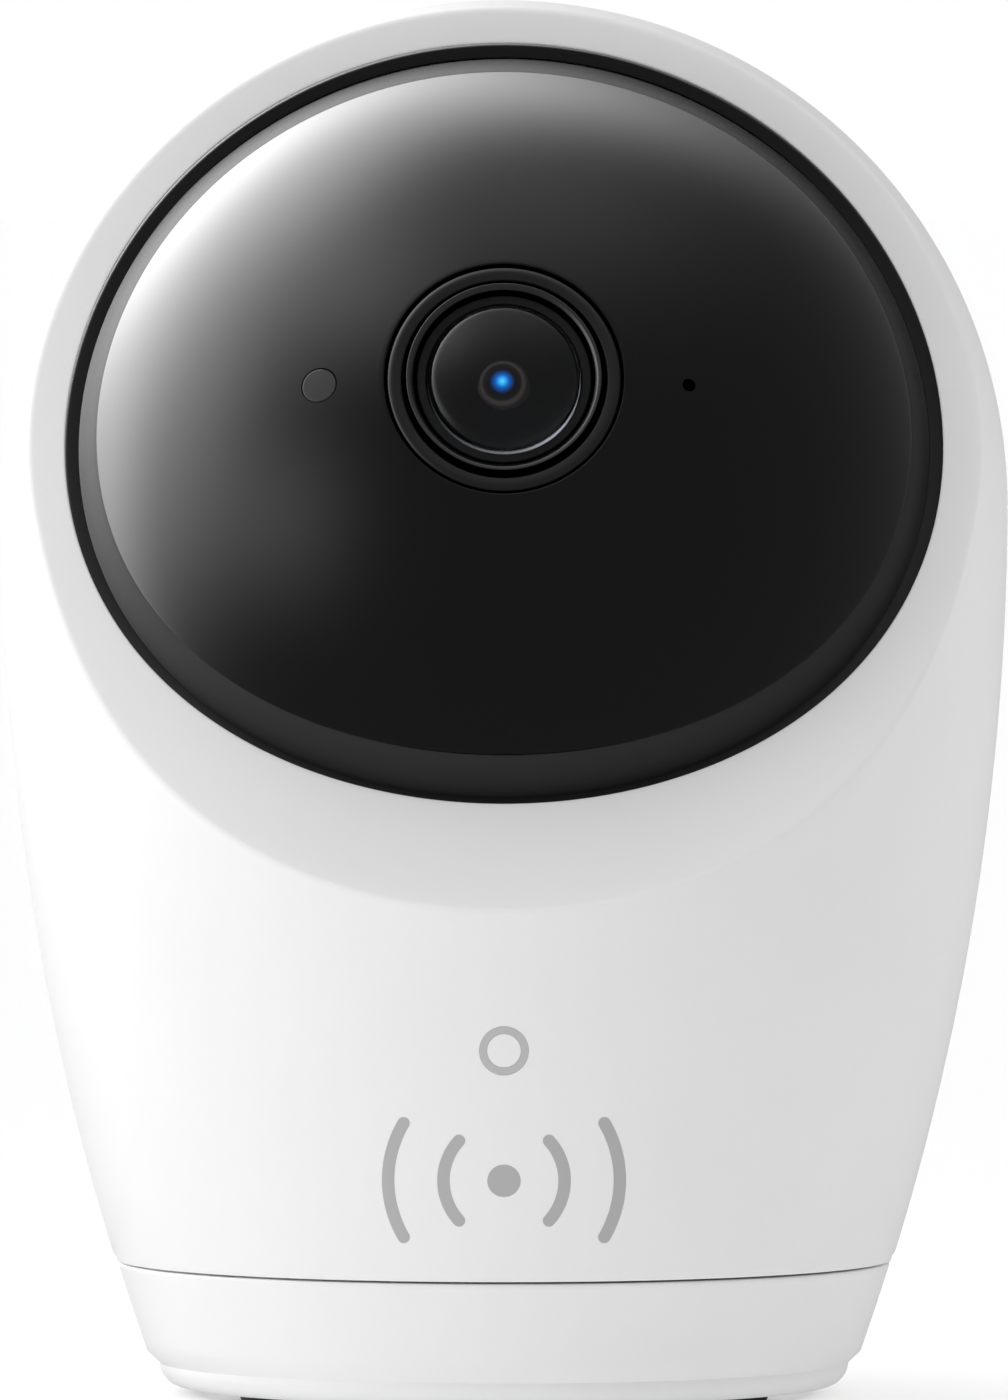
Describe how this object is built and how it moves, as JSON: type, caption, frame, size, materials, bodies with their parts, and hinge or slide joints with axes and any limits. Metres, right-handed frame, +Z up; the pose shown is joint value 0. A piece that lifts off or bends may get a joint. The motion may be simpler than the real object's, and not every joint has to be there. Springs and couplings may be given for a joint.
{
  "type": "security camera",
  "caption": "Indoor pan and tilt security camera: white egg-shaped body on a tapered base, with a dark camera ball that tilts inside a round hooded opening.",
  "frame": {"origin": "middle of the base's flat underside, on the pan axis", "axes": "+Z up along the pan axis, the lens looks towards -Y, +X to the right seen from the front"},
  "size_m": [0.0778, 0.0756, 0.1077],
  "materials": {
    "white_plastic": "satin moulded",
    "white_trim": "fine matt",
    "light_guide": "frosted",
    "black_plastic": "matt moulded",
    "bezel_plastic": "satin moulded",
    "gloss_window": "high gloss",
    "lens_ring": "fine satin",
    "lens_trim": "dark anodised",
    "lens_glass": "polished",
    "coated_glass": "coated, polished",
    "rubber": "matt",
    "steel": "plain",
    "motor_steel": "zinc plated",
    "acetal": "smooth moulded",
    "circuit_board": "solder mask",
    "chip": "moulded epoxy",
    "led_lens": "clear tinted",
    "copper_flex": "polyimide film",
    "cable": "smooth jacket"
  },
  "bodies": {
    "base": {"base_shell": "white_plastic", "base_plate": "white_trim", "base_deck": "black_plastic", "ballast_ring": "steel", "power_inlet": "steel", "inlet_tongue": "black_plastic", "power_board": "circuit_board", "pan_glide_ring": "acetal", "pan_ring_gear": "acetal", "gear_retainer": "steel", "centre_cable": "cable", "rubber_foot_1": "rubber", "rubber_foot_2": "rubber", "rubber_foot_3": "rubber", "rubber_foot_4": "rubber", "base_screw_1": "steel", "base_screw_2": "steel", "base_screw_3": "steel"},
    "pan_head": {"front_shell": "white_plastic", "rear_cover": "white_plastic", "opening_liner": "black_plastic", "status_light_ring": "light_guide", "status_light_core": "white_trim", "head_chassis": "black_plastic", "pan_motor": "motor_steel", "control_board": "circuit_board", "status_led": "light_guide", "speaker": "black_plastic", "speaker_magnet": "steel", "reset_switch": "chip", "antenna_strip": "copper_flex", "tilt_yoke": "black_plastic", "tilt_pivot_left": "steel", "tilt_pivot_right": "steel", "tilt_fixed_gear": "acetal"},
    "camera_ball": {"visor": "gloss_window", "ball_front_shell": "bezel_plastic", "ball_rear_shell": "bezel_plastic", "lens_ring": "lens_ring", "lens_trim_ring": "lens_trim", "front_lens": "lens_glass", "lens_barrel": "black_plastic", "rear_lens": "coated_glass", "light_sensor_window": "gloss_window", "microphone": "steel", "front_board": "circuit_board", "sensor_board": "circuit_board", "image_sensor": "chip", "main_board": "circuit_board", "processor_chip": "chip", "infrared_led_left": "led_lens", "infrared_led_right": "led_lens", "tilt_motor": "motor_steel"},
    "pan_pinion": {"pan_pinion": "acetal"},
    "tilt_pinion": {"tilt_pinion": "acetal"},
    "reset_button": {"reset_button": "white_trim"}
  },
  "joints": [
    {"name": "pan_turn", "type": "hinge", "parent": "base", "child": "pan_head", "pos_m": [0, 0, 0.0092], "axis": [0, 0, 1], "range_deg": [-170, 170]},
    {"name": "ball_tilt", "type": "hinge", "parent": "pan_head", "child": "camera_ball", "pos_m": [0, 0, 0.0682], "axis": [-1, 0, 0], "range_deg": [-40, 45]},
    {"name": "pan_pinion_spin", "type": "hinge", "parent": "pan_head", "child": "pan_pinion", "pos_m": [-0.01044, -0.01491, 0.0143], "axis": [0, 0, 1], "range_deg": [-570, 570]},
    {"name": "tilt_pinion_spin", "type": "hinge", "parent": "camera_ball", "child": "tilt_pinion", "pos_m": [0.0263, 0.00951, 0.06511], "axis": [-1, 0, 0], "range_deg": [-94, 106]},
    {"name": "reset_press", "type": "slide", "parent": "pan_head", "child": "reset_button", "axis": [0, -1, 0], "range_m": [0, 0.0006], "stiffness_N_per_m": 400, "springref_m": -0.0002}
  ],
  "couplings": [
    {"joint": "pan_pinion_spin", "follows": "pan_turn", "ratio": 3.3333},
    {"joint": "tilt_pinion_spin", "follows": "ball_tilt", "ratio": 2.3333}
  ]
}
